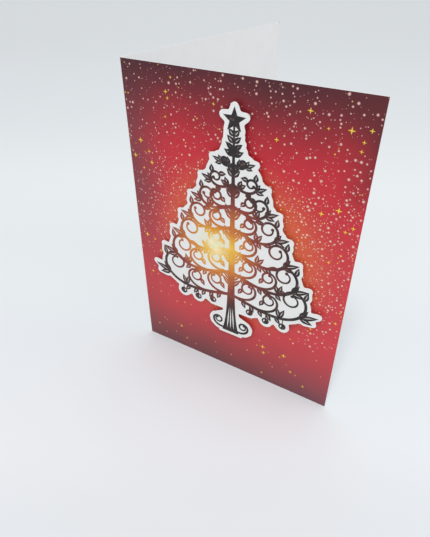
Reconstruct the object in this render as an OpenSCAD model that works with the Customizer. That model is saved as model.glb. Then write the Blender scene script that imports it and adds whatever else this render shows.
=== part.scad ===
// Folded Christmas card with a die-cut tree raised on foam pads.
// +Z is up. The front leaf lies along X and faces -Y, and the fold is its left edge.
// The origin is the middle of the footprint, on the surface that the card stands on.

/* [Card] */
// Width of one leaf, from the fold to the free edge
leaf_w = 105; // [100:1:150]
// Height of the card
card_h = 148; // [144:1:210]
// Thickness of the card stock
stock_t = 0.4; // [0.25:0.05:0.6]
// Inside radius of the scored fold
fold_r = 0.3; // [0.2:0.05:0.6]
// Angle between the two leaves as the card stands
open_angle = 77.7; // [50:0.1:110]

/* [Front print] */
// Thickness of the printed field
print_t = 0.1; // [0.05:0.01:0.2]
// Thickness of the ink laid over the field and over the tree
ink_t = 0.05; // [0.03:0.01:0.1]
// Height of the dark field along the top edge
dusk_top = 18; // [8:0.5:26]
// Height of the dark field along the lower edge
dusk_low = 17; // [6:0.5:24]
// Distance over which the dark field runs down at the two sides
dusk_side = 20; // [6:0.5:24]
// Drop of the dark field along the fold, below its lower border at the top
dusk_fold_drop = 80; // [20:1:90]
// Drop of the dark field along the free edge
dusk_free_drop = 21; // [4:1:90]
// Radius of the orange glow printed behind the tree
halo_r = 36; // [28:1:42]
// Distance of that glow's middle to the right of the tree's axis
halo_side = -2; // [-8:0.5:8]
// Number of gold sparkles tried, of which the tree hides some
sparkles = 48; // [20:1:120]
// Radius of a gold sparkle
sparkle_r = 1.5; // [0.8:0.1:2.5]
// Number of large snow specks tried, of which the tree hides some
specks = 60; // [20:1:200]
// Diameter of the largest snow speck
speck_d = 1.3; // [0.6:0.1:2]
// Height above the lower edge at which the snow begins
snow_low = 42; // [20:1:60]

/* [Tree topper] */
// Thickness of the die-cut tree
topper_t = 0.35; // [0.2:0.05:0.6]
// White margin between the ornament and the cut line
topper_margin = 1.7; // [1:0.1:3]
// Widest gap in the ornament that the cut line bridges, as a radius
topper_bridge = 4; // [3.2:0.1:5]
// Height of the trunk's foot above the card's lower edge
tree_foot = 26.7; // [20:0.1:30]
// Distance of the tree's axis to the right of the leaf's middle
tree_shift = 0.6; // [-2:0.1:2]

/* [Foam pads] */
// Side of a square foam pad
pad_side = 5; // [4:0.1:6]
// Thickness of a foam pad
pad_t = 1.5; // [0.5:0.1:3]

/* [Tree ornament] */
// Height of the ornament, from the trunk's foot to the tip of the star
tree_h = 111; // [104:1:115]
// Reach of the lowest boughs, from the tree's axis to the tips of their sprigs
tree_reach = 42.3; // [36:0.1:44]
// Reach of the top boughs
top_reach = 8.5; // [7:0.1:12]
// Largest mean distance between two tiers of boughs
tier_gap = 11; // [9.5:0.1:13]
// Height of the lowest boughs' root above the trunk's foot
bough_low = 24; // [20:0.5:28]
// Distance from the top boughs' root to the tip of the star
leader_h = 22; // [18:0.5:26]
// Width of the trunk's foot
trunk_w = 9; // [7:0.5:12]
// Width of a bough at the trunk
bough_w = 1.7; // [1:0.1:2]
// Width of a scroll at its inner end
scroll_w = 0.7; // [0.4:0.05:0.9]
// Diameter of the berry at the end of a scroll
berry_d = 1.5; // [1:0.1:2]
// Width of a fir needle
needle_w = 2.3; // [1.2:0.1:2.7]
// Diameter of a bauble
bauble_d = 3.6; // [2.5:0.1:4.5]
// Radius of the star at the top
star_r = 5; // [3.5:0.1:6]
// Distance of the golden glow to the right of the tree's axis
glow_side = -8; // [-14:1:14]
// Height of the golden glow above the trunk's foot
glow_high = 48; // [40:1:60]
// Radius of the gold ink around the glow
gold_r = 20; // [10:1:24]
// Radius at which the ink turns from russet to umber
russet_r = 34; // [28:1:50]

/* [Hidden] */

// The fold's axis is the zero of the drawing, and the front leaf is flat from there on
fold_out = fold_r + stock_t;
flat_w = leaf_w - fold_out;
print_face = fold_out + print_t;
topper_face = print_face + pad_t + topper_t;
tree_at = [leaf_w / 2 + tree_shift - fold_out, tree_foot];

// Corners of the footprint around the fold's axis
foot_min = [min(-fold_out, flat_w * cos(open_angle) - fold_out * sin(open_angle)),
            -topper_face - ink_t];
foot_max = [flat_w,
            flat_w * sin(open_angle) + max(fold_out * cos(open_angle), fold_r * cos(open_angle))];

// Tiers of boughs, which stand closer together towards the top
tier_count = 1 + ceil((tree_h - leader_h - bough_low) / tier_gap);
tier_ease_share = 0.24;
glow_at = [glow_side, glow_high];

// Border between the red and the dark field at the top, and the glow's place between the dark fields
dusk_share = [0, 0.2, 0.5, 1];
dusk_power = 2;
halo_up_share = 197 / 410;
halo_low = dusk_low + halo_r;
halo_high = card_h - dusk_top - halo_r;
halo_at = [tree_at.x + halo_side, mix(halo_low, halo_high, halo_up_share)];
halo_steps = 16;

// Boughs: a pair of values runs from the lowest tier to the top one, and angles are in degrees
volute_angle = [560, 430];
volute_power = [3, 2];
volute_steps = 17;
volute_ease_power = 1.9;
droop_angle = [-14, -32];
taper_share = [1, 0.7];

// Scrolls that run along a bough, as shares of the distance between two tiers
curl_angle = 520;
curl_power = 1.8;
curl_steps = 12;
curl_ease_power = 1.6;
curl_lift_angle = 12;
curl_rise_share = 0.78;
curl_pitch_share = 0.86;
curl_room_share = 0.35;
curl_w = scroll_w * 1.8;

// Sprigs at the boughs' tips: place along the bough, lengths, widths and angles
sprig_share = 0.93;
sprig_l = [6, 3.2];
sprig_mid_share = 1.55;
sprig_side_share = 1.1;
sprig_width_share = [1.2, 0.8];
sprig_angle = 34;
sprig_follow_share = 0.6;
sprig_dip_angle = 8;

// Needles: their widest place, and those that hang, sit on a scroll or a volute, end a bough
// or grow on the trunk
needle_waist_share = 0.4;
needle_gap = 4.2;
hang_share = [0.16, 0.72];
hang_angle = 52;
hang_length_share = 0.34;
inner_share = [0.4, 0.6];
inner_angle = -135;
inner_length_share = 0.33;
volute_length_share = 0.42;
end_angle = [60, 95];
end_length_share = 0.48;
shoot_share = [0.36, 0.62];
shoot_angle = 48;
shoot_length_share = 0.42;
leader_angle = [30, 37, 44, 51];
leader_l = 5;
leader_low = 3;
leader_gap = 2.6;
leader_taper_share = 0.08;

// Trunk and its roots
trunk_steps = 10;
trunk_flare_power = 12;
slit_count = 3;
slit_l = 0.6 * bough_low;
slit_w = 0.07 * trunk_w;
slit_angle = 4;
root_angle = -8;
root_rise = 0.75 * trunk_w;

// Baubles: places along the lowest boughs, strings, and the slit of light as shares of the diameter
bauble_share = [0.27, 0.5, 0.73];
bauble_drop = 3;
bauble_hook_share = 0.45;
bauble_slit_share = [-0.25, -0.2];
bauble_slit_length_share = 0.5;
bauble_slit_width_share = 0.2;
bauble_slit_angle = 75;
string_w = 0.4;

// Star at the top
star_waist_share = 0.42;
star_points = 5;

// Foam pads: tiers that have a pair, its place along their boughs, and places up the trunk
pad_tiers = [0, 2];
pad_out_share = 0.6;
pad_up_share = [0.065, 0.64, 0.92];

// Gap between two fields of ink
ink_gap = 0.02;

// Seeds, clear edge and smallest sizes of the scattered prints, and the drop of the lowest boughs' tips
sparkle_seed = 11;
speck_seed = 23;
scatter_edge = 0.4;
print_least_share = 0.6;
sparkle_waist_share = 0.2;
sparkle_points = 4;
bough_drop = 12;

function mix(a, b, f) = a + (b - a) * f;
function unit(a) = [cos(a), sin(a)];
function turned(p, a) = [p.x * cos(a) - p.y * sin(a), p.x * sin(a) + p.y * cos(a)];
function angle_of(d) = atan2(d.y, d.x);

// Points of a scroll of length one, whose heading turns faster along the way. Its steps get shorter
// towards the end, more so with a higher ease.
function scroll(turn, power, steps, ease) =
    let (at = function (i) pow(i / steps, 1 / ease))
    [for (i = 0, p = [0, 0]; i <= steps;
          p = p + (at(i + 1) - at(i)) * unit(turn * pow((at(i) + at(i + 1)) / 2, power)),
          i = i + 1) p];
function placed(path, start, heading, size) = [for (p = path) start + size * turned(p, heading)];
function rise(path) =
    let (heights = [for (p = path) p.y])
    max(heights) - min(heights);

// Left-hand normal of a path at its point i
function normal_at(path, i) =
    let (last = len(path) - 1, d = path[min(i + 1, last)] - path[max(i - 1, 0)])
    [-d.y, d.x] / norm(d);

// Step of a path that crosses x, with the point and the heading there
function step_at(path, x, i = 0) =
    path[i + 1].x >= x || i + 2 == len(path) ? i : step_at(path, x, i + 1);
function point_at(path, x) =
    let (i = step_at(path, x), a = path[i], b = path[i + 1])
    mix(a, b, (x - a.x) / (b.x - a.x));
function slope_at(path, x) =
    let (i = step_at(path, x))
    angle_of(path[i + 1] - path[i]);

// Tier i from the bottom, as a share of the way up, and the sizes of its boughs
function up(i) = i / (tier_count - 1);
function root_h(i) =
    let (eased = up(i) * (1 + tier_ease_share - tier_ease_share * up(i)))
    mix(bough_low, tree_h - leader_h, eased);
function band(i) = root_h(i + 1) - root_h(i);
function sprig(i) = mix(sprig_l[0], sprig_l[1], up(i));
function edge(i) = mix(tree_reach, top_reach, up(i)) - sprig(i);
function bough_path(i) =
    let (
        shape = scroll(mix(volute_angle[0], volute_angle[1], up(i)),
                       mix(volute_power[0], volute_power[1], up(i)), volute_steps, volute_ease_power),
        leant = placed(shape, [0, 0], mix(droop_angle[0], droop_angle[1], up(i)), 1)
    )
    placed(leant, [0, root_h(i)], 0, edge(i) / max([for (p = leant) p.x]));

// The trunk runs up to the star, and flares at its foot
trunk_top = tree_h - star_r;
function trunk_half(v) =
    mix(trunk_w / 4, scroll_w / 2, v / trunk_top)
    + trunk_w / 4 * pow(1 - v / trunk_top, trunk_flare_power);

// A path drawn with a width that tapers from w0 to w1
module stroke(path, w0, w1) {
    last = len(path) - 1;
    half_w = function (i) mix(w0, w1, i / last) / 2;
    left = [for (i = [0:last]) path[i] + half_w(i) * normal_at(path, i)];
    right = [for (i = [last:-1:0]) path[i] - half_w(i) * normal_at(path, i)];
    polygon(concat(left, right));
}

// A scroll that ends in a berry, with two needles on its bend
module curl(path, w0, needle_l = 0) {
    last = len(path) - 1;
    stroke(path, w0, scroll_w);
    translate(path[last]) circle(d = berry_d, $fn = 6);
    if (needle_l > 0)
        for (k = inner_share * last)
            needle(path[round(k)], angle_of(normal_at(path, round(k))) + inner_angle, needle_l);
}

// A fir needle from base along a heading, widest before its middle
module needle(base, heading, l, w = needle_w) {
    d = unit(heading);
    s = [-d.y, d.x] * w / 2;
    waist = base + d * l * needle_waist_share;
    polygon([base, waist + s, base + d * l, waist - s]);
}

module star(r, waist, points) {
    polygon([for (i = [0:2 * points - 1])
             (i % 2 == 0 ? r : waist) * unit(90 + 180 * i / points)]);
}

// A bough with its volute, and a sprig of three needles at its tip
module bough(i) {
    path = bough_path(i);
    tip_x = edge(i) * sprig_share;
    tip = point_at(path, tip_x);
    tip_w = needle_w * mix(sprig_width_share[0], sprig_width_share[1], up(i));
    heading = slope_at(path, tip_x) * sprig_follow_share - sprig_dip_angle;
    needle_l = i < tier_count - 1 ? band(i) * volute_length_share : 0;
    curl(path, bough_w * mix(taper_share[0], taper_share[1], up(i)), needle_l);
    needle(tip, heading, sprig(i) * sprig_mid_share, tip_w);
    for (side = [-1, 1])
        needle(tip, heading + side * sprig_angle, sprig(i) * sprig_side_share, tip_w);
}

// Needles that hang from a bough, scrolls that run along its top and needles beside them
module bough_filling(i) {
    path = bough_path(i);
    shape = scroll(curl_angle, curl_power, curl_steps, curl_ease_power);
    curl_size = band(i) * curl_rise_share / rise(shape);
    runs = max(0, floor(edge(i) / band(i) - curl_room_share));
    run_x = function (j) trunk_w / 4 + j * band(i) * curl_pitch_share;
    for (x = [edge(i) * hang_share[0]:needle_gap:edge(i) * hang_share[1]])
        needle(point_at(path, x), slope_at(path, x) - hang_angle, band(i) * hang_length_share);
    for (j = [0:1:runs - 1]) {
        base = point_at(path, run_x(j));
        heading = slope_at(path, run_x(j)) + curl_lift_angle;
        curl(placed(shape, base, heading, curl_size), curl_w, band(i) * inner_length_share);
    }
    for (a = end_angle)
        needle(point_at(path, run_x(runs)), a + slope_at(path, run_x(runs)), band(i) * end_length_share);
    shoot_l = trunk_half(root_h(i)) + band(i) * shoot_length_share;
    for (v = shoot_share)
        needle([0, root_h(i) + band(i) * v], shoot_angle, shoot_l);
}

// A bauble on a string, with a slit of light
module bauble(p) {
    translate(p - [string_w / 2, bauble_drop]) square([string_w, bauble_drop]);
    translate(p - [0, bauble_drop + bauble_d * bauble_hook_share]) difference() {
        circle(d = bauble_d, $fn = 12);
        needle(bauble_d * bauble_slit_share, bauble_slit_angle, bauble_d * bauble_slit_length_share,
               bauble_d * bauble_slit_width_share);
    }
}

module trunk_shape() {
    heights = [for (j = [0:trunk_steps]) trunk_top * j / trunk_steps];
    right = [for (v = heights) [trunk_half(v), v]];
    left = [for (j = [trunk_steps:-1:0]) [-right[j].x, right[j].y]];
    polygon(concat(right, left));
}

module trunk() {
    difference() {
        trunk_shape();
        for (j = [-(slit_count - 1) / 2:(slit_count - 1) / 2])
            needle([j, 1] * trunk_w / 5, 90 + slit_angle * j, slit_l, slit_w);
    }
}

// The right half of the tree that gives it its outline
module half_frame() {
    for (i = [0:tier_count - 1])
        bough(i);
    for (x = bauble_share)
        bauble(point_at(bough_path(0), edge(0) * x));
    root = scroll(curl_angle, curl_power, curl_steps, curl_ease_power);
    curl(placed(root, [trunk_w / 4, bough_w], root_angle, root_rise / rise(root)), curl_w);
    for (j = [0:len(leader_angle) - 1]) {
        base = [0, tree_h - leader_h + leader_low + j * leader_gap];
        needle(base, leader_angle[j], leader_l * (1 - j * leader_taper_share));
    }
}

module both_sides() {
    children();
    mirror([1, 0]) children();
}

module tree_frame() {
    trunk();
    translate([0, tree_h - star_r]) star(star_r, star_r * star_waist_share, star_points);
    both_sides() half_frame();
}

module ornament() {
    tree_frame();
    both_sides() for (i = [0:tier_count - 1]) bough_filling(i);
}

// A margin around the tree that bridges its gaps, and stays whole beside the trunk
module topper_outline() {
    offset(delta = topper_margin - topper_bridge) fill()
        offset(r = topper_bridge, $fn = 12) tree_frame();
    offset(delta = topper_margin) trunk_shape();
}

// Sets the card on its footprint's middle
module in_frame() {
    translate([-(foot_min.x + foot_max.x) / 2, -(foot_min.y + foot_max.y) / 2, 0]) children();
}

// Lays a drawing, X right and Y up, on a face of the front that stands out from the fold's axis
module on_front(face, thickness) {
    in_frame() translate([0, -face, 0]) rotate([90, 0, 0]) linear_extrude(thickness) children();
}

module leaf() {
    translate([0, -fold_out, 0]) cube([flat_w, stock_t, card_h]);
}

module folded_card() {
    color("white") in_frame() {
        leaf();
        rotate([0, 0, open_angle]) mirror([0, 1, 0]) leaf();
        rotate([0, 0, 90 + open_angle]) rotate_extrude(angle = 180 - open_angle)
            translate([fold_r, 0]) square([stock_t, card_h]);
    }
}

// Lower border of the dark field at the top, from the fold to the free edge: its height at a share
// of the way in from a side, and its points
function dusk_height(drop, share) = card_h - dusk_top - drop * pow(1 - share, dusk_power);
dusk_border = concat(
    [for (share = dusk_share) [dusk_side * share, dusk_height(dusk_fold_drop, share)]],
    [for (i = [len(dusk_share) - 1:-1:0])
     [flat_w - dusk_side * dusk_share[i], dusk_height(dusk_free_drop, dusk_share[i])]]);

module halo() {
    polygon([for (i = [0:halo_steps - 1])
             halo_at + halo_r * unit(360 * i / halo_steps)]);
}

module front_print() {
    color("firebrick") on_front(fold_out, print_t) difference() {
        polygon(concat([[flat_w, dusk_low], [0, dusk_low]], dusk_border));
        halo();
    }
}

module dusk_print() {
    color("maroon") on_front(fold_out, print_t) {
        polygon(concat([[flat_w, card_h], [0, card_h]], dusk_border));
        square([flat_w, dusk_low]);
    }
}

module glow_print() {
    color("tomato") on_front(fold_out, print_t) halo();
}

// Half the topper's width at a height above the trunk's foot, with room to spare
function topper_half(v) =
    let (rise_share = (v - bough_low + bough_drop) / (tree_h - bough_low + bough_drop))
    v > tree_h ? topper_margin
    : v < 0 ? 0
    : mix(tree_reach, star_r, max(0, rise_share)) + 3 * topper_margin;
function beside_tree(p, r) = abs(p.x - tree_at.x) > topper_half(p.y - tree_at.y + r) + r;
function clear_of(p, others, gap) = len([for (q = others) if (norm(p - q) < gap) q]) == 0;

// Seeded places on the printed field above a height, a radius in from its edges
function scattered(count, r, low, seed) =
    let (
        inset = scatter_edge + r,
        xs = rands(inset, flat_w - inset, count, seed),
        ys = rands(low + inset, card_h - inset, count, seed + 1)
    )
    [for (i = [0:count - 1]) if (beside_tree([xs[i], ys[i]], r)) [xs[i], ys[i]]];
sparkle_places = scattered(sparkles, sparkle_r, 0, sparkle_seed);
speck_places = [for (p = scattered(specks, speck_d / 2, snow_low, speck_seed))
                if (clear_of(p, sparkle_places, sparkle_r + speck_d)) p];

module snow_print() {
    color("mistyrose") on_front(print_face, ink_t)
        for (i = [0:len(speck_places) - 1])
            translate(speck_places[i])
                circle(d = speck_d * mix(print_least_share, 1, i % 5 / 4), $fn = 6);
}

module star_print() {
    waist = sparkle_r * sparkle_waist_share;
    color("gold") on_front(print_face, ink_t)
        for (i = [0:len(sparkle_places) - 1])
            translate(sparkle_places[i])
                star(sparkle_r * mix(print_least_share, 1, i % 4 / 3), waist, sparkle_points);
}

module tree_topper() {
    color("whitesmoke") on_front(print_face + pad_t, topper_t)
        translate(tree_at) topper_outline();
}

// The part of the ornament between two radii around the glow, less its thinnest slivers,
// and half an ink_gap in from its outline
module ring_shape(r0, r1) {
    offset(delta = ink_gap) offset(delta = -1.5 * ink_gap) intersection() {
        ornament();
        translate(glow_at) difference() {
            circle(r1, $fn = 48);
            circle(r0, $fn = 48);
        }
    }
}

module ornament_ring(r0, r1) {
    on_front(topper_face, ink_t) translate(tree_at) ring_shape(r0, r1);
}

module gold_ink() {
    color("goldenrod") ornament_ring(0, gold_r);
}

module russet_ink() {
    color("sienna") ornament_ring(gold_r, russet_r);
}

module umber_ink() {
    color([0.24, 0.21, 0.22]) ornament_ring(russet_r, tree_h);
}

// Pads up the trunk, and in pairs behind the boughs of two low tiers
module foam_pads() {
    pair = [for (i = pad_tiers, side = [-1, 1]) [side * edge(i) * pad_out_share, root_h(i)]];
    axis = [for (share = pad_up_share) [0, tree_h * share]];
    color("ivory") on_front(print_face, pad_t)
        for (p = concat(pair, axis))
            translate(tree_at + p) square(pad_side, center = true);
}

folded_card();
front_print();
dusk_print();
glow_print();
snow_print();
star_print();
foam_pads();
tree_topper();
gold_ink();
russet_ink();
umber_ink();
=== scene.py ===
"""Looks, light and camera of a standing Christmas card with a raised die-cut tree."""
import math
import random

import bmesh
import bpy
from mathutils import Matrix, Vector
from mathutils.geometry import delaunay_2d_cdt


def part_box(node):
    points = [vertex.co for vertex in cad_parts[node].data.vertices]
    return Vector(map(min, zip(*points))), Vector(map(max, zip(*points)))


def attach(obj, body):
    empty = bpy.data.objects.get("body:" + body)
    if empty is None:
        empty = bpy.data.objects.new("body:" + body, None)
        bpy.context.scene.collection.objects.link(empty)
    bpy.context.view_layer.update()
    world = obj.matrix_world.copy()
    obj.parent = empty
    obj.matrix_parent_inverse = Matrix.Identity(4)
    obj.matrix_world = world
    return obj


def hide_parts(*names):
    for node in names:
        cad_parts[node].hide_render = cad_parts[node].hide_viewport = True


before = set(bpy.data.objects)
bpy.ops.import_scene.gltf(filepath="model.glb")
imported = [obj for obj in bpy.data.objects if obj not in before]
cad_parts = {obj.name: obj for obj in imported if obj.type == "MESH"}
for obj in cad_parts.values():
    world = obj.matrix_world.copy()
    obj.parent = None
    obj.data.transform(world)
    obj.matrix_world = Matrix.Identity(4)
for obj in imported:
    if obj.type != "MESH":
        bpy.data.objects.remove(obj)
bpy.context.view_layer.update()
MM = 0.001


def linear(r, g, b):
    """A colour written as it shows on a screen, 0 to 255, as the renderer's own numbers."""
    def one(v):
        v /= 255
        return v / 12.92 if v <= 0.04045 else ((v + 0.055) / 1.055) ** 2.4
    return (one(r), one(g), one(b), 1)


# Places on the card's front, read from the frame, in metres. The dark field has all edges of the print.
PRINT_LOW, PRINT_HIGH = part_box("dusk_print")
PRINT_FACE = PRINT_LOW.y
TOPPER_BACK, TOPPER_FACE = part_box("tree_topper")[1].y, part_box("tree_topper")[0].y
INK_LOW, INK_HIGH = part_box("umber_ink")
INK_FACE = INK_LOW.y
TREE_X = (INK_LOW.x + INK_HIGH.x) / 2
TREE_Z = INK_LOW.z
CARD_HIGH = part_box("folded_card")[1]

# The ornament's sizes, as in the solids, in millimetres
TREE_H = (INK_HIGH.z - INK_LOW.z) / MM
TREE_REACH = 42.3
TOP_REACH = 8.5
TIERS = 7
BOUGH_LOW = 24
LEADER_H = 22
TRUNK_W = 9
BOUGH_W = 1.7
SCROLL_W = 0.7
CURL_W = 1.8 * SCROLL_W
BERRY_D = 1.5
NEEDLE_W = 2.3
NEEDLE_GAP = 4.2
SPRIG_L = (6, 3.2)
LEADER_L = 5
LEADER_LOW = 3
LEADER_GAP = 2.6
ROOT_RISE = 0.75 * TRUNK_W
BAUBLE_D = 3.6
BAUBLE_DROP = 3
STRING_W = 0.4
STAR_R = 5
GLOW = Vector((-8, 48))

# Its shares and angles in degrees. A pair runs from the lowest tier to the top one.
TIER_EASE = 0.24
VOLUTE_ANGLE, VOLUTE_POWER, VOLUTE_EASE = (560, 430), (3, 2), 1.9
DROOP_ANGLE = (-14, -32)
BOUGH_TAPER = (1, 0.7)
CURL_ANGLE, CURL_POWER, CURL_EASE = 520, 1.8, 1.6
CURL_LIFT, CURL_RISE, CURL_PITCH, CURL_ROOM = 12, 0.78, 0.86, 0.35
SPRIG_AT, SPRIG_FOLLOW, SPRIG_DIP = 0.93, 0.6, 8
SPRIG_NEEDLES = ((0, 1.55), (-34, 1.1), (34, 1.1))
SPRIG_WIDTH = (1.2, 0.8)
HANG_FROM, HANG_TO, HANG_ANGLE, HANG_LENGTH = 0.16, 0.72, 52, 0.34
INNER_AT, INNER_ANGLE, INNER_LENGTH, VOLUTE_LENGTH = (0.4, 0.6), -135, 0.33, 0.42
END_ANGLES, END_LENGTH = (60, 95), 0.48
SHOOT_AT, SHOOT_ANGLE, SHOOT_LENGTH = (0.36, 0.62), 48, 0.42
LEADER_ANGLES, LEADER_TAPER = (30, 37, 44, 51), 0.08
TRUNK_FLARE = 12
SLIT_LENGTH, SLIT_WIDTH, SLIT_ANGLE = 0.6, 0.07, 4
ROOT_ANGLE = -8
BAUBLE_AT, BAUBLE_HOOK = (0.27, 0.5, 0.73), 0.45
BAUBLE_SLIT_AT, BAUBLE_SLIT_ANGLE = Vector((-0.25, -0.2)), 75
STAR_POINTS, STAR_WAIST = 5, 0.42
NEEDLE_WAIST, NEEDLE_TIP = 0.4, 1.15
VEIN_AT, VEIN_LENGTH, VEIN_WIDTH = 0.2, 0.6, 0.13

# Points along a scroll, round a berry or speck, along an edge of a needle, vein or sparkle, and up the trunk
VOLUTE_STEPS = 64
CURL_STEPS = 44
BERRY_STEPS = 20
NEEDLE_STEPS = 9
VEIN_STEPS = 4
TRUNK_STEPS = 40
DISC_STEPS = 12
SPARKLE_STEPS = 6

# Scattered print: tries for specks, sparkles, gold dust and dots beyond those of the solids
SPECK_TRIES = 2250
LOW_SPECK_TRIES = 1500
SPARKLE_TRIES = 26
DUST_TRIES = 110
DOT_TRIES = 46
SCATTER_SEED = 8

# Its heights, thickness and clearances in metres
SNOW_LOW = 30 * MM
SNOW_FULL = SNOW_LOW + 30 * MM
SNOW_DENSE = 112 * MM
DOT_LOW = 3 * MM
SPECK_T = 0.03 * MM
SPECK_ROOM = 0.1 * MM
EDGE_ROOM = 0.2 * MM
UNDER_TREE = 2.5 * MM

# Its least and largest radius in millimetres. A power above 1 favours small ones, a growth runs from the
# left to the right, and leans below 1 favour the right and the top.
SPECK_R, SPECK_POWER, SPECK_GROWTH = (0.11, 0.6), 2.8, (0.8, 1.2)
LOW_SPECK_R, LOW_SPECK_POWER, LOW_SPECK_GROWTH = (0.16, 0.62), 1.8, (0.75, 1.2)
LOW_LEAN = (0.7, 0.65)
SPARKLE_R = (0.7, 1.1)
SPARKLE_WAIST, SPARKLE_POWER = 0.26, 1.9
DUST_R = (0.18, 0.36)
DOT_R = (0.3, 0.55)

# Its tones from the middle of a shape to its rim, and the share of the radius that shows them in full.
# At the rim a lesser share shows. The tints run from far off to near the glow.
SNOW_TONES, SNOW_SOLID = (linear(242, 222, 210), linear(220, 170, 160)), 0.4
GOLD_TONES, GOLD_SOLID = (linear(255, 237, 100), linear(244, 206, 58)), 0.65
AMBER_TONES, AMBER_SOLID = (linear(252, 200, 112), linear(234, 152, 88)), 0.4
RIM_SHARE = 0.3
TINTS, TINT_REACH = (linear(238, 228, 228), linear(254, 246, 226)), (70 * MM, 26 * MM)

# Printed field: tones, and from where to where each rises, in metres. The glow's reach is from its middle,
# and those of the red and the head and the rise at the free edge are down from the top. The others are from
# the edge that they name, or up from the floor. A side is where a second tone sets in, from the free edge at
# the head and from the fold at the foot. The mist is the finest snow, dots of colour in the print.
FIELD_CLOUD, FIELD_DRIFT = 22 * MM, 4 * MM
FIELD_GLOW = Vector((2, 47)) * MM
RED_TONES, RED_REACH = (linear(194, 38, 52), linear(203, 62, 70)), (20 * MM, 80 * MM)
GLOW_TONE, GLOW_REACH = linear(217, 102, 60), (48 * MM, 22 * MM)
FOLD_TONE, FOLD_REACH = linear(98, 58, 66), (26 * MM, -2 * MM)
FOLD_RISE, FOLD_SHARE = (40 * MM, 100 * MM), (0.22, 0.78)
FREE_TONE, FREE_REACH = linear(100, 34, 44), (14 * MM, -4 * MM)
FREE_RISE, FREE_SHARE = (46 * MM, 22 * MM), (0, 0.95)
HEAD_TONES, HEAD_REACH, HEAD_SIDE = (linear(70, 32, 40), linear(88, 33, 38)), (36 * MM, -4 * MM), 24 * MM
# The foot's second tone, pinker toward the free edge, is a painted sheen over the print's dark foot
FOOT_TONES_AND_SHEEN, FOOT_REACH, FOOT_SHEEN_SIDE = (linear(95, 61, 65), linear(92, 68, 78)), (42 * MM, -10 * MM), 60 * MM
GRAIN, GRAIN_SPAN, GRAIN_TONE, GRAIN_SHARE = 0.35 * MM, (0.3, 0.75), linear(255, 196, 170), 0.1
MIST_CELL, MIST_WIDTH, MIST_TONE = 1.5 * MM, (-0.1, 0.16), linear(236, 190, 176)
MIST_RISE, MIST_SHARE = (SNOW_LOW, SNOW_LOW + 40 * MM), (0, 0.55)

# Card, ink and foam: tones, sizes of their detail in metres, and the values of it between which a tone rises.
# A tone with a share before it stands at that share of a reach.
FIBRE = 0.16 * MM
FIBRE_STRETCHES = (1, 1, 0.25), (0.3, 0.3, 1)
CARD_FIBRE, TOPPER_FIBRE, PRINT_FIBRE = 0.012 * MM, 0.01 * MM, 0.006 * MM
CARD_TONES = linear(233, 233, 233), linear(231, 231, 232)
TOPPER_TONES = linear(235, 235, 234), linear(231, 231, 230)
CARD_CLOUD, CLOUD_SPAN = 9 * MM, (0.35, 0.7)
CARD_FLECK, FLECK_SPAN, FLECK_SHADE = 0.5 * MM, (0.62, 0.8), 0.94
# A darker grey spot at the top corner of the back leaf's free edge
CORNER_SPOT_TONE, CORNER_SPOT_REACH = linear(150, 152, 156), (1.1 * MM, 0.3 * MM)
WARM_REACH = 14 * MM
WARM_TONES = (0, linear(248, 230, 178)), (0.4, linear(238, 229, 210)), (1, TOPPER_TONES[0])
SATIN_CLOUD, SATIN_ROUGHNESS = 3 * MM, (0.36, 0.5)
INK_REACH, INK_CLOUD, INK_DRIFT = 45 * MM, 9 * MM, 4 * MM
INK_TONES = ((0.04, linear(250, 236, 190)), (0.13, linear(238, 190, 70)), (0.3, linear(206, 124, 48)),
             (0.48, linear(144, 62, 50)), (0.7, linear(76, 42, 42)), (0.88, linear(42, 36, 38)))
INK_PATCH, PATCH_SPAN, PATCH_TONE, PATCH_SHARE = 1.4 * MM, (0.52, 0.78), linear(238, 200, 170), 0.14
FOAM_TONES = linear(208, 205, 196), linear(232, 230, 222)
FOAM_CELL, FOAM_SPAN, FOAM_DEPTH = 0.25 * MM, (0.1, 0.6), 0.06 * MM

# Cut line of the tree: two passes of rounding, the most of a side that each takes, and the eased edge
CUT_ROUNDING = (0.4 * MM, 0.16 * MM)
CUT_SHARE = 0.25
CUT_EASE = 0.04 * MM

# Distances taken as none: in the drawing, in millimetres, and on the solids, in metres and in decimal places
DRAWING_MERGE = 1e-5
FACE_MATCH = 1e-6
POINT_MERGE = 1e-7
PLACE_DIGITS = 7

# Camera, solved from the card's corners in the photograph
PHOTO_W, PHOTO_H = 430, 537
CAMERA_AT = Vector((80.69, -200.96, 190.97)) * MM
CAMERA_AZIMUTH = 30.83
CAMERA_DOWN = 36.59
CAMERA_ROLL = 0.41
FOCAL_PX = 469.45
SENSOR = 36
CLIP_START = 0.01

# Floor: half its width and its depth under the card, and its tones by metres ahead of the camera
FLOOR_HALF, FLOOR_DROP = 4.0, 0.02 * MM
FLOOR_REACH = 1.5
# The floor's tones are painted light: paler far off, where the lamps reach less
FLOOR_PAINTED_LIGHT_TONES = ((0.085, linear(228, 233, 237)), (0.125, linear(234, 238, 242)), (0.18, linear(233, 238, 242)),
               (0.27, linear(237, 242, 245)), (0.39, linear(241, 246, 249)), (0.55, linear(238, 243, 247)),
               (0.85, linear(240, 245, 249)), (FLOOR_REACH, linear(246, 251, 254)))

# Light: a pale backdrop, an even level from all round, and three lamps. The key is small and high, and the
# others are broad, at the front and on the right.
BACKDROP_TONE = linear(215, 220, 225)
SKY_LEVEL = 0.69
KEY_AT, KEY_SIZE, KEY_POWER = Vector((0.12, -0.5, 1.0)), 0.18, 3.1
FRONT_AT, FRONT_SIZE, FRONT_POWER = Vector((0.4, -0.95, 0.8)), 0.9, 1.4
FILL_AT, FILL_SIZE, FILL_POWER = Vector((0.8, 0.1, 0.55)), 0.7, 0.8


# Node helpers

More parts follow.
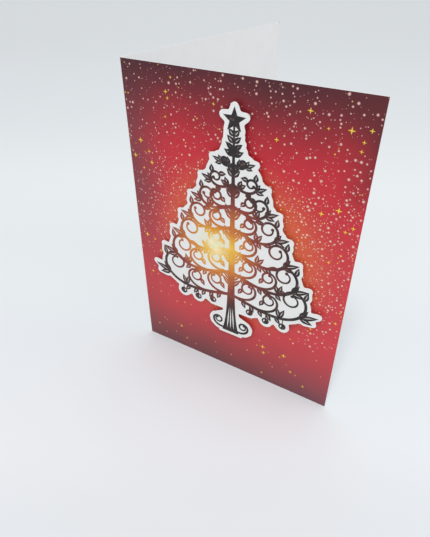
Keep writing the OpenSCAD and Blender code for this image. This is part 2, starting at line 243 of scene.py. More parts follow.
def node(tree, kind, inputs=None, **settings):
    """Adds a node, sets its properties, and links or sets its inputs."""
    made = tree.nodes.new(kind)
    for key, value in settings.items():
        setattr(made, key, value)
    for key, value in (inputs or {}).items():
        if isinstance(value, bpy.types.NodeSocket):
            tree.links.new(value, made.inputs[key])
        else:
            made.inputs[key].default_value = value
    return made


def math_node(tree, operation, a, b=0.0):
    return node(tree, "ShaderNodeMath", {0: a, 1: b}, operation=operation).outputs[0]


def span(tree, value, start, end, low=0.0, high=1.0):
    """A smooth rise from low at start to high at end."""
    sockets = {"Value": value, "From Min": start, "From Max": end, "To Min": low, "To Max": high}
    return node(tree, "ShaderNodeMapRange", sockets, interpolation_type="SMOOTHSTEP").outputs["Result"]


def mixed(tree, share, a, b, blend="MIX"):
    made = node(tree, "ShaderNodeMix", {"Factor": share}, data_type="RGBA", blend_type=blend)
    for socket, value in ((made.inputs[6], a), (made.inputs[7], b)):
        if isinstance(value, bpy.types.NodeSocket):
            tree.links.new(value, socket)
        else:
            socket.default_value = value
    return made.outputs[2]


def ramp(tree, value, stops, interpolation="EASE"):
    made = node(tree, "ShaderNodeValToRGB", {"Fac": value})
    made.color_ramp.interpolation = interpolation
    points = made.color_ramp.elements
    while len(points) < len(stops):
        points.new(1)
    for point, (place, colour) in zip(points, stops):
        point.position = place
        point.color = colour
    return made.outputs["Color"]


def noise(tree, place, size, detail=3.0, roughness=0.55):
    """Noise whose features are about size metres across."""
    made = node(tree, "ShaderNodeTexNoise",
                {"Vector": place, "Scale": 1 / size, "Detail": detail, "Roughness": roughness})
    return made.outputs["Fac"]


def place_of(tree):
    return node(tree, "ShaderNodeTexCoord").outputs["Object"]


def away_from(tree, place, centre, stretch=(1, 1, 1)):
    """Distance in metres from a centre, with axes stretched."""
    moved = node(tree, "ShaderNodeVectorMath", {0: place, 1: tuple(centre)}, operation="SUBTRACT")
    scaled = node(tree, "ShaderNodeVectorMath", {0: moved.outputs[0], 1: stretch}, operation="MULTIPLY")
    return node(tree, "ShaderNodeVectorMath", {0: scaled.outputs[0]}, operation="LENGTH").outputs["Value"]


def bump(tree, height, depth, strength=1.0):
    made = node(tree, "ShaderNodeBump", {"Height": height, "Distance": depth, "Strength": strength})
    return made.outputs["Normal"]


def new_material(name, **constants):
    """A material with its Principled shader, whose constant inputs are set on its own sockets."""
    made = bpy.data.materials.new(name)
    made.use_nodes = True
    shader = made.node_tree.nodes["Principled BSDF"]
    for key, value in constants.items():
        shader.inputs[key.replace("_", " ")].default_value = value
    return made, made.node_tree, shader


def wire(tree, shader, **links):
    for key, value in links.items():
        tree.links.new(value, shader.inputs[key.replace("_", " ")])


# Materials

def fibre_height(tree, place):
    """Paper fibres: fine threads in two directions."""
    threads = []
    for stretch in FIBRE_STRETCHES:
        made = node(tree, "ShaderNodeVectorMath", {0: place, 1: stretch}, operation="MULTIPLY")
        threads.append(noise(tree, made.outputs[0], FIBRE, detail=2.0))
    return math_node(tree, "ADD", threads[0], threads[1])


def card_colour(tree, place, pale, dusk):
    """White card with faint clouds and flecks of fibre."""
    cloud = noise(tree, place, CARD_CLOUD, detail=4.0)
    fleck = noise(tree, place, CARD_FLECK, roughness=0.7)
    tone = mixed(tree, span(tree, cloud, *CLOUD_SPAN), pale, dusk)
    darker = tuple(FLECK_SHADE * v for v in pale[:3]) + (1,)
    return mixed(tree, span(tree, fleck, *FLECK_SPAN), tone, darker)


def back_leaf_corner():
    """The top corner of the back leaf's free edge."""
    corners = [v.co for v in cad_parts["folded_card"].data.vertices]
    return max(corners, key=lambda p: p.y + p.z)


def card_stock():
    made, tree, shader = new_material("card_stock", Roughness=0.72, Specular_IOR_Level=0.3)
    place = place_of(tree)
    colour = card_colour(tree, place, *CARD_TONES)
    # A darker grey spot at the top corner of the back leaf's free edge
    corner_spot = span(tree, away_from(tree, place, back_leaf_corner()), *CORNER_SPOT_REACH)
    colour = mixed(tree, corner_spot, colour, CORNER_SPOT_TONE)
    normal = bump(tree, fibre_height(tree, place), CARD_FIBRE, strength=0.6)
    wire(tree, shader, Base_Color=colour, Normal=normal)
    return made


def print_field():
    """A node group with the printed field's colour at a place: red, with dark edges and an orange glow, and a
    painted pinkish sheen at the foot toward the free edge.
    """
    group = bpy.data.node_groups.new("print_field", "ShaderNodeTree")
    group.interface.new_socket("Place", in_out="INPUT", socket_type="NodeSocketVector")
    group.interface.new_socket("Color", in_out="OUTPUT", socket_type="NodeSocketColor")
    place = node(group, "NodeGroupInput").outputs["Place"]
    axes = node(group, "ShaderNodeSeparateXYZ", {"Vector": place})
    drift = span(group, noise(group, place, FIELD_CLOUD, detail=2.0), 0, 1, -FIELD_DRIFT, FIELD_DRIFT)
    across = math_node(group, "ADD", axes.outputs["X"], drift)
    high = math_node(group, "ADD", axes.outputs["Z"], drift)
    left, right, top = PRINT_LOW.x, PRINT_HIGH.x, PRINT_HIGH.z

    red = mixed(group, span(group, high, *(top - r for r in RED_REACH)), *RED_TONES)
    glow = span(group, away_from(group, place, print_glow(), (1, 0, 1)), *GLOW_REACH)
    colour = mixed(group, glow, red, GLOW_TONE)
    fold_side = math_node(group, "MULTIPLY", span(group, across, *(left + r for r in FOLD_REACH)),
                          span(group, high, *FOLD_RISE, *FOLD_SHARE))
    colour = mixed(group, fold_side, colour, FOLD_TONE)
    free_side = math_node(group, "MULTIPLY", span(group, across, *(right - r for r in FREE_REACH)),
                          span(group, high, *(top - r for r in FREE_RISE), *FREE_SHARE))
    colour = mixed(group, free_side, colour, FREE_TONE)
    head_tone = mixed(group, span(group, across, right - HEAD_SIDE, right), *HEAD_TONES)
    colour = mixed(group, span(group, high, *(top - r for r in HEAD_REACH)), colour, head_tone)
    # Dark print at the foot, with a painted pinkish sheen toward the free edge
    foot_tone_and_sheen = mixed(group, span(group, across, left + FOOT_SHEEN_SIDE, right), *FOOT_TONES_AND_SHEEN)
    colour = mixed(group, span(group, high, *FOOT_REACH), colour, foot_tone_and_sheen)
    grain = noise(group, place, GRAIN, detail=2.0, roughness=0.7)
    grained = mixed(group, span(group, grain, *GRAIN_SPAN), colour, GRAIN_TONE, "SOFT_LIGHT")
    colour = mixed(group, GRAIN_SHARE, colour, grained)
    node(group, "NodeGroupOutput", {"Color": colour})
    return group


def print_glow():
    """Middle of the orange glow on the printed field."""
    return Vector((TREE_X + FIELD_GLOW.x, PRINT_FACE, TREE_Z + FIELD_GLOW.y))


def field_at(tree, place):
    return node(tree, "ShaderNodeGroup", {"Place": place}, node_tree=FIELD).outputs["Color"]


def satin(tree, shader, place, **links):
    """The print's satin finish: slightly uneven gloss over the paper's fibres."""
    gloss = span(tree, noise(tree, place, SATIN_CLOUD), 0, 1, *SATIN_ROUGHNESS)
    normal = bump(tree, fibre_height(tree, place), PRINT_FIBRE, strength=0.5)
    wire(tree, shader, Roughness=gloss, Normal=normal, **links)


def red_print():
    made, tree, shader = new_material("red_print", Specular_IOR_Level=0.32)
    place = place_of(tree)
    mist = node(tree, "ShaderNodeTexVoronoi", {"Vector": place, "Scale": 1 / MIST_CELL, "Randomness": 1.0})
    width = node(tree, "ShaderNodeMapRange",
                 {"Value": mist.outputs["Color"], "To Min": MIST_WIDTH[0], "To Max": MIST_WIDTH[1]})
    dot = math_node(tree, "LESS_THAN", mist.outputs["Distance"], width.outputs["Result"])
    high = node(tree, "ShaderNodeSeparateXYZ", {"Vector": place}).outputs["Z"]
    share = math_node(tree, "MULTIPLY", dot, span(tree, high, *MIST_RISE, *MIST_SHARE))
    colour = mixed(tree, share, field_at(tree, place), MIST_TONE)
    satin(tree, shader, place, Base_Color=colour)
    return made


def scatter_print(name, tones, solid):
    """Print of small shapes, whose colour runs from the middle to the rim and fades into the field."""
    made, tree, shader = new_material(name, Specular_IOR_Level=0.32)
    place = place_of(tree)
    rim = node(tree, "ShaderNodeAttribute", attribute_name="rim").outputs["Fac"]
    glow = span(tree, away_from(tree, place, print_glow(), (1, 0, 1)), *TINT_REACH)
    warm = mixed(tree, 1.0, mixed(tree, rim, *tones), mixed(tree, glow, *TINTS), "MULTIPLY")
    share = span(tree, rim, 1.0, solid, RIM_SHARE, 1)
    colour = mixed(tree, share, field_at(tree, place), warm)
    satin(tree, shader, place, Base_Color=colour)
    return made


def topper_stock():
    made, tree, shader = new_material("topper_card", Roughness=0.6, Specular_IOR_Level=0.35)
    place = place_of(tree)
    colour = card_colour(tree, place, *TOPPER_TONES)
    near = away_from(tree, place, glow_place(), (1, 0, 1))
    warm = ramp(tree, math_node(tree, "DIVIDE", near, WARM_REACH), WARM_TONES)
    colour = mixed(tree, 1.0, colour, warm, "DARKEN")
    normal = bump(tree, fibre_height(tree, place), TOPPER_FIBRE, strength=0.6)
    wire(tree, shader, Base_Color=colour, Normal=normal)
    return made


def glow_place():
    """Middle of the golden glow in the ornament."""
    return Vector((TREE_X + GLOW.x * MM, INK_FACE, TREE_Z + GLOW.y * MM))


def tree_ink():
    """Ink that runs from pale gold at the glow through russet to umber."""
    made, tree, shader = new_material("tree_ink", Specular_IOR_Level=0.3)
    place = place_of(tree)
    wander = span(tree, noise(tree, place, INK_CLOUD, detail=2.0), 0, 1, -INK_DRIFT, INK_DRIFT)
    near = math_node(tree, "ADD", away_from(tree, place, glow_place(), (1, 0, 1)), wander)
    colour = ramp(tree, math_node(tree, "DIVIDE", near, INK_REACH), INK_TONES, "LINEAR")
    patch = noise(tree, place, INK_PATCH, detail=2.0)
    lighter = mixed(tree, PATCH_SHARE, colour, PATCH_TONE)
    colour = mixed(tree, span(tree, patch, *PATCH_SPAN), colour, lighter)
    satin(tree, shader, place, Base_Color=colour)
    return made


def pad_foam():
    made, tree, shader = new_material("pad_foam", Roughness=0.9)
    place = place_of(tree)
    foam = node(tree, "ShaderNodeTexVoronoi", {"Vector": place, "Scale": 1 / FOAM_CELL})
    cells = foam.outputs["Distance"]
    colour = mixed(tree, span(tree, cells, *FOAM_SPAN), *FOAM_TONES)
    wire(tree, shader, Base_Color=colour, Normal=bump(tree, cells, FOAM_DEPTH, strength=0.8))
    return made


# The ornament's drawing, X right and Y up from the trunk's foot, in millimetres

def mix(pair, share):
    return pair[0] + (pair[1] - pair[0]) * share


def unit(degrees):
    return Vector((math.cos(math.radians(degrees)), math.sin(math.radians(degrees))))


def turned(point, degrees):
    along = unit(degrees)
    return Vector((point.x * along.x - point.y * along.y, point.x * along.y + point.y * along.x))


def heading_of(step):
    return math.degrees(math.atan2(step.y, step.x))


def scroll(turn, power, ease, steps):
    """Points of a scroll of length one, whose heading turns faster along the way."""
    points = [Vector((0, 0))]
    for i in range(steps):
        start, end = ((j / steps) ** (1 / ease) for j in (i, i + 1))
        points.append(points[-1] + (end - start) * unit(turn * ((start + end) / 2) ** power))
    return points


def placed(path, start, degrees, size):
    return [start + size * turned(p, degrees) for p in path]


def rise(path):
    return max(p.y for p in path) - min(p.y for p in path)


def step_at(path, x):
    """Number of the first step of a path that reaches x."""
    return next((i for i in range(len(path) - 1) if path[i + 1].x >= x), len(path) - 2)


def point_at(path, x):
    i = step_at(path, x)
    return path[i].lerp(path[i + 1], (x - path[i].x) / (path[i + 1].x - path[i].x))


def slope_at(path, x):
    i = step_at(path, x)
    return heading_of(path[i + 1] - path[i])


def normal_at(path, i):
    step = path[min(i + 1, len(path) - 1)] - path[max(i - 1, 0)]
    return Vector((-step.y, step.x)).normalized()


def up(tier):
    return tier / (TIERS - 1)


def root_h(tier):
    return mix((BOUGH_LOW, TREE_H - LEADER_H), up(tier) * (1 + TIER_EASE - TIER_EASE * up(tier)))


def band(tier):
    return root_h(tier + 1) - root_h(tier)


def sprig(tier):
    return mix(SPRIG_L, up(tier))


def edge(tier):
    return mix((TREE_REACH, TOP_REACH), up(tier)) - sprig(tier)


def bough_path(tier):
    shape = scroll(mix(VOLUTE_ANGLE, up(tier)), mix(VOLUTE_POWER, up(tier)), VOLUTE_EASE, VOLUTE_STEPS)
    leant = placed(shape, Vector((0, 0)), mix(DROOP_ANGLE, up(tier)), 1)
    return placed(leant, Vector((0, root_h(tier))), 0, edge(tier) / max(p.x for p in leant))


def curl_path(start, degrees, height):
    shape = scroll(CURL_ANGLE, CURL_POWER, CURL_EASE, CURL_STEPS)
    return placed(shape, start, degrees, height / rise(shape))


def trunk_half(v):
    share = v / (TREE_H - STAR_R)
    return mix((TRUNK_W / 4, SCROLL_W / 2), share) + TRUNK_W / 4 * (1 - share) ** TRUNK_FLARE


def leaf(base, degrees, length, width, steps):
    """A needle's outline, round at its widest place and pointed at its tip."""
    along, side = unit(degrees), unit(degrees + 90)
    rim = []
    for i in range(1, steps):
        share = i / steps
        if share < NEEDLE_WAIST:
            half = math.sin(math.pi / 2 * share / NEEDLE_WAIST)
        else:
            half = math.cos(math.pi / 2 * (share - NEEDLE_WAIST) / (1 - NEEDLE_WAIST)) ** NEEDLE_TIP
        rim.append((share * length, half * width / 2))
    right = [base + along * a - side * h for a, h in rim]
    left = [base + along * a + side * h for a, h in reversed(rim)]
    return [base] + right + [base + along * length] + left


def flipped(outline):
    return [Vector((-p.x, p.y)) for p in reversed(outline)]


class Drawing:
    """Shapes of ink and the slits cut out of them. A slit cuts only its own shape."""

    def __init__(self):
        self.shapes = []
        self.slits = []

    def add(self, outline, *slits):
        self.shapes.append(outline)
        self.slits.append(slits)

    def stroke(self, path, w0, w1):
        rims = []
        for i, p in enumerate(path):
            half = mix((w0, w1), i / (len(path) - 1)) / 2 * normal_at(path, i)
            rims.append((p + half, p - half))
        for (a, b), (c, d) in zip(rims, rims[1:]):
            self.add([a, b, d, c])

    def disc(self, centre, diameter, steps, *slits):
        self.add([centre + diameter / 2 * unit(360 * i / steps) for i in range(steps)], *slits)

    def needle(self, base, degrees, length, width=NEEDLE_W):
        vein_at = base + unit(degrees) * length * VEIN_AT
        vein = leaf(vein_at, degrees, length * VEIN_LENGTH, width * VEIN_WIDTH, VEIN_STEPS)
        self.add(leaf(base, degrees, length, width, NEEDLE_STEPS), vein)

    def curl(self, path, w0, needle_l=0):
        last = len(path) - 1
        self.stroke(path, w0, SCROLL_W)
        self.disc(path[last], BERRY_D, BERRY_STEPS)
        if needle_l:
            for i in (round(share * last) for share in INNER_AT):
                self.needle(path[i], heading_of(normal_at(path, i)) + INNER_ANGLE, needle_l)

    def add_mirror_image(self):
        for shape, slits in list(zip(self.shapes, self.slits)):
            self.add(flipped(shape), *(flipped(slit) for slit in slits))


def draw_bough(drawing, tier):
    """A bough with its volute, and a sprig of three needles at its tip."""
    path = bough_path(tier)
    tip_x = edge(tier) * SPRIG_AT
    tip, tip_w = point_at(path, tip_x), NEEDLE_W * mix(SPRIG_WIDTH, up(tier))
    degrees = slope_at(path, tip_x) * SPRIG_FOLLOW - SPRIG_DIP
    needle_l = band(tier) * VOLUTE_LENGTH if tier < TIERS - 1 else 0
    drawing.curl(path, BOUGH_W * mix(BOUGH_TAPER, up(tier)), needle_l)
    for turn, share in SPRIG_NEEDLES:
        drawing.needle(tip, degrees + turn, sprig(tier) * share, tip_w)


def draw_filling(drawing, tier):
    """Needles that hang from a bough, scrolls that run along its top and needles beside them."""
    path, gap = bough_path(tier), band(tier)
    runs = max(0, math.floor(edge(tier) / gap - CURL_ROOM))
    runs_x = [TRUNK_W / 4 + j * gap * CURL_PITCH for j in range(runs + 1)]
    hanging = 1 + math.floor(edge(tier) * (HANG_TO - HANG_FROM) / NEEDLE_GAP)
    for x in (edge(tier) * HANG_FROM + j * NEEDLE_GAP for j in range(hanging)):
        drawing.needle(point_at(path, x), slope_at(path, x) - HANG_ANGLE, gap * HANG_LENGTH)
    for x in runs_x[:-1]:
        running = curl_path(point_at(path, x), slope_at(path, x) + CURL_LIFT, gap * CURL_RISE)
        drawing.curl(running, CURL_W, gap * INNER_LENGTH)
    for turn in END_ANGLES:
        drawing.needle(point_at(path, runs_x[-1]), slope_at(path, runs_x[-1]) + turn, gap * END_LENGTH)
    for share in SHOOT_AT:
        length = trunk_half(root_h(tier)) + gap * SHOOT_LENGTH
        drawing.needle(Vector((0, root_h(tier) + gap * share)), SHOOT_ANGLE, length)


def draw_bauble(drawing, hook):
    centre = hook - Vector((0, BAUBLE_DROP + BAUBLE_D * BAUBLE_HOOK))
    half, low = Vector((STRING_W / 2, 0)), hook - Vector((0, BAUBLE_DROP))
    drawing.add([hook + half, hook - half, low - half, low + half])
    slit_at = centre + BAUBLE_SLIT_AT * BAUBLE_D
    slit = leaf(slit_at, BAUBLE_SLIT_ANGLE, BAUBLE_D / 2, BAUBLE_D / 5, NEEDLE_STEPS)
    drawing.disc(centre, BAUBLE_D, 2 * BERRY_STEPS, slit)


def draw_trunk(drawing):
    heights = [(TREE_H - STAR_R) * j / TRUNK_STEPS for j in range(TRUNK_STEPS + 1)]
    right = [Vector((trunk_half(v), v)) for v in heights]
    slit_l, slit_w = BOUGH_LOW * SLIT_LENGTH, TRUNK_W * SLIT_WIDTH
    slits = [leaf(Vector((j, 1)) * TRUNK_W / 5, 90 + SLIT_ANGLE * j, slit_l, slit_w, NEEDLE_STEPS)
             for j in (-1, 0, 1)]
    drawing.add(right + flipped(right), *slits)


def draw_star(drawing):
    centre = Vector((0, TREE_H - STAR_R))
    radii = [STAR_R, STAR_R * STAR_WAIST] * STAR_POINTS
    drawing.add([centre + radius * unit(90 + 180 / STAR_POINTS * i) for i, radius in enumerate(radii)])


def ornament():
    drawing = Drawing()
    for tier in range(TIERS):
        draw_bough(drawing, tier)
        draw_filling(drawing, tier)
    for share in BAUBLE_AT:
        draw_bauble(drawing, point_at(bough_path(0), edge(0) * share))
    drawing.curl(curl_path(Vector((TRUNK_W / 4, BOUGH_W)), ROOT_ANGLE, ROOT_RISE), CURL_W)
    for j, degrees in enumerate(LEADER_ANGLES):
        base = Vector((0, TREE_H - LEADER_H + LEADER_LOW + j * LEADER_GAP))
        drawing.needle(base, degrees, LEADER_L * (1 - j * LEADER_TAPER))
    drawing.add_mirror_image()
    draw_trunk(drawing)
    draw_star(drawing)
    return drawing


# Meshes

def new_piece(name, mesh, material, slot, *nodes):
    """A piece that rides on the card, takes a finish and stands for some of its nodes. Its slot is not used.
    """
    made = bpy.data.objects.new(name, mesh)
    bpy.context.scene.collection.objects.link(made)
    mesh.materials.append(material)
    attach(made, "root")
    if nodes:
        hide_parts(*nodes)
    return made


def merged(drawing):
    """The drawing's ink as triangles without overlaps: points, and triples of their numbers."""
    points, faces, owners = [], [], []
    for k, (shape, slits) in enumerate(zip(drawing.shapes, drawing.slits)):
        for outline in (shape, *slits):
            faces.append(list(range(len(points), len(points) + len(outline))))
            points.extend(outline)
            owners.append((k, outline is shape))
    made = delaunay_2d_cdt(points, [], faces, 1, DRAWING_MERGE)
    kept = []
    for face, origins in zip(made[2], made[5]):
        inked = {owners[i][0] for i in origins if owners[i][1]}
        cut = {owners[i][0] for i in origins if not owners[i][1]}
        if inked - cut:
            kept.append(face)
    return made[0], kept


def extruded(name, points, faces, front, back):
    """A flat shape of points (x, z) in metres as a closed solid between two planes of the front."""
    shape = bmesh.new()
    corners = [shape.verts.new((p.x, front, p.y)) for p in points]
    for face in faces:
        shape.faces.new([corners[i] for i in face])
    bmesh.ops.delete(shape, geom=[v for v in shape.verts if not v.link_faces], context="VERTS")
    raised = bmesh.ops.extrude_face_region(shape, geom=list(shape.faces))
    moved = [v for v in raised["geom"] if isinstance(v, bmesh.types.BMVert)]
    bmesh.ops.translate(shape, verts=moved, vec=(0, back - front, 0))
    bmesh.ops.recalc_face_normals(shape, faces=shape.faces)
    mesh = bpy.data.meshes.new(name)
    shape.to_mesh(mesh)
    shape.free()
    return mesh


def tree_ornament():
    points, faces = merged(ornament())
    on_card = [Vector((TREE_X + p.x * MM, TREE_Z + p.y * MM)) for p in points]
    mesh = extruded("tree_ornament", on_card, faces, INK_FACE, TOPPER_FACE)
    new_piece("tree_ornament", mesh, tree_ink(), "umber_ink", "gold_ink", "russet_ink", "umber_ink")


def solid_outline(name, face):
    """The rim of a flat solid's front face, as points (x, z)."""
    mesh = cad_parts[name].data
    where = [(round(v.co.x, PLACE_DIGITS), round(v.co.z, PLACE_DIGITS)) for v in mesh.vertices]
    sides = {}
    for polygon in mesh.polygons:
        corners = list(polygon.vertices)
        if all(abs(mesh.vertices[i].co.y - face) < FACE_MATCH for i in corners):
            for a, b in zip(corners, corners[1:] + corners[:1]):
                sides.setdefault(frozenset((where[a], where[b])), []).append((where[a], where[b]))
    following = dict(pairs[0] for pairs in sides.values() if len(pairs) == 1)
    rim = [next(iter(following))]
    while following[rim[-1]] != rim[0]:
        rim.append(following[rim[-1]])
    return [Vector(p) for p in rim]


def rounded(outline, reach):
    """An outline whose corners are cut back by up to a reach, which turns facets into curves."""
    made = []
    for i, p in enumerate(outline):
        for other in (outline[i - 1], outline[(i + 1) % len(outline)]):
            step = other - p
            made.append(p + step.normalized() * min(reach, CUT_SHARE * step.length))
    return made


def topper_card(outline):
    for reach in CUT_ROUNDING:
        outline = rounded(outline, reach)
    mesh = extruded("topper_card", outline, [range(len(outline))], TOPPER_FACE, TOPPER_BACK)
    made = new_piece("topper_card", mesh, topper_stock(), "topper_card", "tree_topper")
    cut_edge = made.modifiers.new("cut_edge", "BEVEL")
    cut_edge.width = CUT_EASE
    cut_edge.segments = 2
    cut_edge.limit_method = "ANGLE"
    cut_edge.angle_limit = math.radians(60)


def islands(name):
    """Middle and radius of each solid of a node that is a group of flat prints."""
    shape = bmesh.new()
    shape.from_mesh(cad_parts[name].data)
    bmesh.ops.remove_doubles(shape, verts=shape.verts, dist=POINT_MERGE)
    seen, found = set(), []
    for first in shape.verts:
        group, reached = [], [first]
        while reached:
            v = reached.pop()
            if v not in seen:
                seen.add(v)
                group.append(Vector((v.co.x, v.co.z)))
                reached.extend(e.other_vert(v) for e in v.link_edges)
        if group:
            middle = sum(group, Vector((0, 0))) / len(group)
            found.append((middle, max((p - middle).length for p in group)))
    shape.free()
    return sorted(found, key=lambda one: tuple(one[0]))


def depth_inside(point, outline):
    """How far a point is inside an outline, or less than 0 outside it."""
    within, nearest = False, math.inf
    for i, b in enumerate(outline):
        a = outline[i - 1]
        if (a.y > point.y) != (b.y > point.y):
            if point.x < a.x + (point.y - a.y) / (b.y - a.y) * (b.x - a.x):
                within = not within
        share = max(0, min(1, (point - a).dot(b - a) / (b - a).length_squared))
        nearest = min(nearest, (point - a.lerp(b, share)).length)
    return nearest if within else -nearest


class Scatter:
    """Seeded places on the printed field that keep clear of each other and of the tree's middle."""

    def __init__(self, outline, taken):
        self.draw = random.Random(SCATTER_SEED)
        self.outline = outline
        self.taken = taken

    def free(self, place, radius):
        margin = radius + EDGE_ROOM
        return (PRINT_LOW.x + margin < place.x < PRINT_HIGH.x - margin
                and PRINT_LOW.z + margin < place.y < PRINT_HIGH.z - margin
                and all((place - p).length > radius + r + SPECK_ROOM for p, r in self.taken)
                and depth_inside(place, self.outline) < UNDER_TREE)

    def take(self, tries, low, high, radius_of, lean=(1, 1)):
        """Places between two heights, each with its radius. Leans below 1 favour the right and the top."""
        found = []
        for _ in range(tries):
            x = mix((PRINT_LOW.x, PRINT_HIGH.x), self.draw.random() ** lean[0])
            z = mix((low, high), self.draw.random() ** lean[1])
            place, radius = Vector((x, z)), radius_of(x, self.draw.random())
            if self.free(place, radius):
                self.taken.append((place, radius))
                found.append((place, radius))
        return found


def fans(name, rims):
    """Flat prints, each a fan of triangles round its middle, with a rim value of 0 there and 1 outside."""
    points, faces, values = [], [], []
    front = PRINT_FACE - SPECK_T
    for middle, rim in rims:
        first, count = len(points), len(rim)
        points.append((middle.x, front, middle.y))
        points.extend((p.x, depth, p.y) for depth in (front, PRINT_FACE) for p in rim)
        values.extend([0.0] + [1.0] * (2 * count))
        for i in range(count):
            a, b = first + 1 + i, first + 1 + (i + 1) % count
            faces.append((first, a, b))
            faces.append((b, a, a + count, b + count))
        faces.append(range(first + 2 * count, first + count, -1))
    mesh = bpy.data.meshes.new(name)
    mesh.from_pydata(points, [], faces)
    mesh.attributes.new("rim", "FLOAT", "POINT").data.foreach_set("value", values)
    mesh.update()
    return mesh


def disc_rim(middle, radius):
    return [middle + radius * unit(360 * i / DISC_STEPS) for i in range(DISC_STEPS)]


def sparkle_rim(middle, radius):
    """A four-pointed sparkle whose sides curve in between its points."""
    rim = []
    for i in range(4 * SPARKLE_STEPS):
        share = abs(2 * (i % SPARKLE_STEPS) / SPARKLE_STEPS - 1)
        reach = radius * mix((SPARKLE_WAIST, 1), share ** SPARKLE_POWER)
        rim.append(middle + reach * unit(90 + 90 * i / SPARKLE_STEPS))
    return rim


def share_across(x):
    """How far a place is across the print, 0 at the fold and 1 at the free edge."""
    return (x - PRINT_LOW.x) / (PRINT_HIGH.x - PRINT_LOW.x)


def radius_between(pair, power=1, growth=(1, 1)):
    """A rule that works out a radius in metres from a place and a chance of 0 to 1."""
    return lambda x, chance: mix(pair, chance ** power) * mix(growth, share_across(x)) * MM


def scattered_print(outline):
    sparkles, specks = islands("star_print"), islands("snow_print")
    scatter = Scatter(outline, sparkles + specks)
    top = PRINT_HIGH.z
    small = radius_between(SPECK_R, SPECK_POWER, SPECK_GROWTH)
    low_small = radius_between(LOW_SPECK_R, LOW_SPECK_POWER, LOW_SPECK_GROWTH)
    sparkles += scatter.take(SPARKLE_TRIES, SNOW_LOW, top, radius_between(SPARKLE_R))
    specks += scatter.take(SPECK_TRIES, SNOW_FULL, top, small)
    specks += scatter.take(LOW_SPECK_TRIES, SNOW_LOW, SNOW_DENSE, low_small, LOW_LEAN)
    dust = scatter.take(DUST_TRIES, SNOW_LOW, top, radius_between(DUST_R))
    dots = scatter.take(DOT_TRIES, DOT_LOW, SNOW_FULL, radius_between(DOT_R))

    snow = scatter_print("snow_print", SNOW_TONES, SNOW_SOLID)
    mesh = fans("snow_specks", [(p, disc_rim(p, r)) for p, r in specks])
    new_piece("snow_specks", mesh, snow, "snow_print", "snow_print")
    gold = scatter_print("gold_print", GOLD_TONES, GOLD_SOLID)
    rims = [(p, sparkle_rim(p, r)) for p, r in sparkles] + [(p, disc_rim(p, r)) for p, r in dust]
    mesh = fans("gold_sparkles", rims)
    new_piece("gold_sparkles", mesh, gold, "gold_print", "star_print")
    amber = scatter_print("amber_print", AMBER_TONES, AMBER_SOLID)
    mesh = fans("amber_dots", [(p, disc_rim(p, r)) for p, r in dots])
    new_piece("amber_dots", mesh, amber, "gold_print")


def dress(name, material):
    """Gives a node that keeps its own shape a better material."""
    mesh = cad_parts[name].data
    mesh.materials.clear()
    mesh.materials.append(material)


# Stage, light and camera

def floor():
    mesh = bpy.data.meshes.new("floor")
    sides = (-1, -1), (1, -1), (1, 1), (-1, 1)
    corners = [(x * FLOOR_HALF, y * FLOOR_HALF, -FLOOR_DROP) for x, y in sides]
    mesh.from_pydata(corners, [], [(0, 1, 2, 3)])
    made = bpy.data.objects.new("floor", mesh)
    bpy.context.scene.collection.objects.link(made)
    paper, tree, shader = new_material("floor", Roughness=0.85, Specular_IOR_Level=0.1)
    along = unit(90 + CAMERA_AZIMUTH)
    place = node(tree, "ShaderNodeVectorMath", {0: place_of(tree), 1: tuple(CAMERA_AT)},
                 operation="SUBTRACT").outputs[0]
    ahead = node(tree, "ShaderNodeVectorMath", {0: place, 1: (along.x, along.y, 0)},
                 operation="DOT_PRODUCT").outputs["Value"]
    # Painted light: the floor's tone by distance ahead of the camera makes up for lamps that reach less far
    # off
    colour = ramp(tree, math_node(tree, "DIVIDE", ahead, FLOOR_REACH),
                  [(metres / FLOOR_REACH, tone) for metres, tone in FLOOR_PAINTED_LIGHT_TONES])
    wire(tree, shader, Base_Color=colour)
    mesh.materials.append(paper)


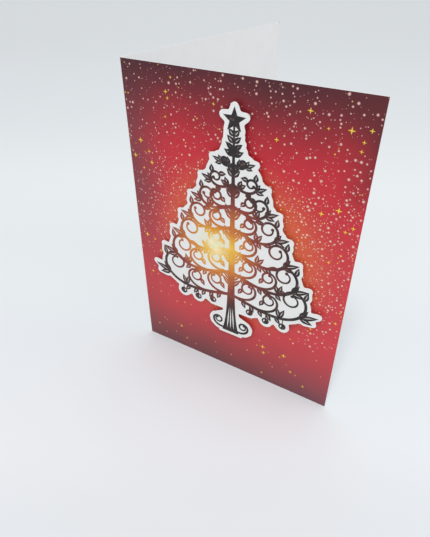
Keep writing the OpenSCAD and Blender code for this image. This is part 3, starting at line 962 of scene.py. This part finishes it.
def lamp(name, place, size, power):
    light = bpy.data.lights.new(name, "AREA")
    light.shape = "DISK"
    light.size = size
    light.energy = power
    made = bpy.data.objects.new(name, light)
    made.location = place
    aim = Vector((0, 0, CARD_HIGH.z / 2)) - place
    made.rotation_euler = aim.to_track_quat("-Z", "Y").to_euler()
    bpy.context.scene.collection.objects.link(made)


def sky():
    world = bpy.data.worlds.new("studio")
    bpy.context.scene.world = world
    world.use_nodes = True
    tree = world.node_tree
    tree.nodes.clear()
    path = node(tree, "ShaderNodeLightPath").outputs
    shown = math_node(tree, "MAXIMUM", path["Is Camera Ray"], path["Is Transmission Ray"])
    shown = math_node(tree, "MAXIMUM", shown, path["Is Glossy Ray"])
    even = node(tree, "ShaderNodeBackground", {"Color": (1, 1, 1, 1), "Strength": SKY_LEVEL})
    backdrop = node(tree, "ShaderNodeBackground", {"Color": BACKDROP_TONE, "Strength": 1.0})
    both = node(tree, "ShaderNodeMixShader", {0: shown, 1: even.outputs[0], 2: backdrop.outputs[0]})
    node(tree, "ShaderNodeOutputWorld", {"Surface": both.outputs[0]})


def camera():
    lens = bpy.data.cameras.new("camera")
    lens.sensor_width = SENSOR
    lens.lens = FOCAL_PX / max(PHOTO_W, PHOTO_H) * SENSOR
    lens.clip_start = CLIP_START
    made = bpy.data.objects.new("camera", lens)
    azimuth, down, roll = (math.radians(a) for a in (CAMERA_AZIMUTH, CAMERA_DOWN, CAMERA_ROLL))
    turn = Matrix.Rotation(azimuth, 4, "Z") @ Matrix.Rotation(math.pi / 2 - down, 4, "X")
    made.matrix_world = Matrix.Translation(CAMERA_AT) @ turn @ Matrix.Rotation(-roll, 4, "Z")
    bpy.context.scene.collection.objects.link(made)
    bpy.context.scene.camera = made


FIELD = print_field()
bpy.context.scene.view_settings.view_transform = "Standard"
dress("folded_card", card_stock())
front_finish = red_print()
for name in ("front_print", "dusk_print", "glow_print"):
    dress(name, front_finish)
dress("foam_pads", pad_foam())
cut_line = solid_outline("tree_topper", TOPPER_FACE)
topper_card(cut_line)
tree_ornament()
scattered_print(cut_line)
floor()
sky()
lamp("key", KEY_AT, KEY_SIZE, KEY_POWER)
lamp("front", FRONT_AT, FRONT_SIZE, FRONT_POWER)
lamp("fill", FILL_AT, FILL_SIZE, FILL_POWER)
camera()
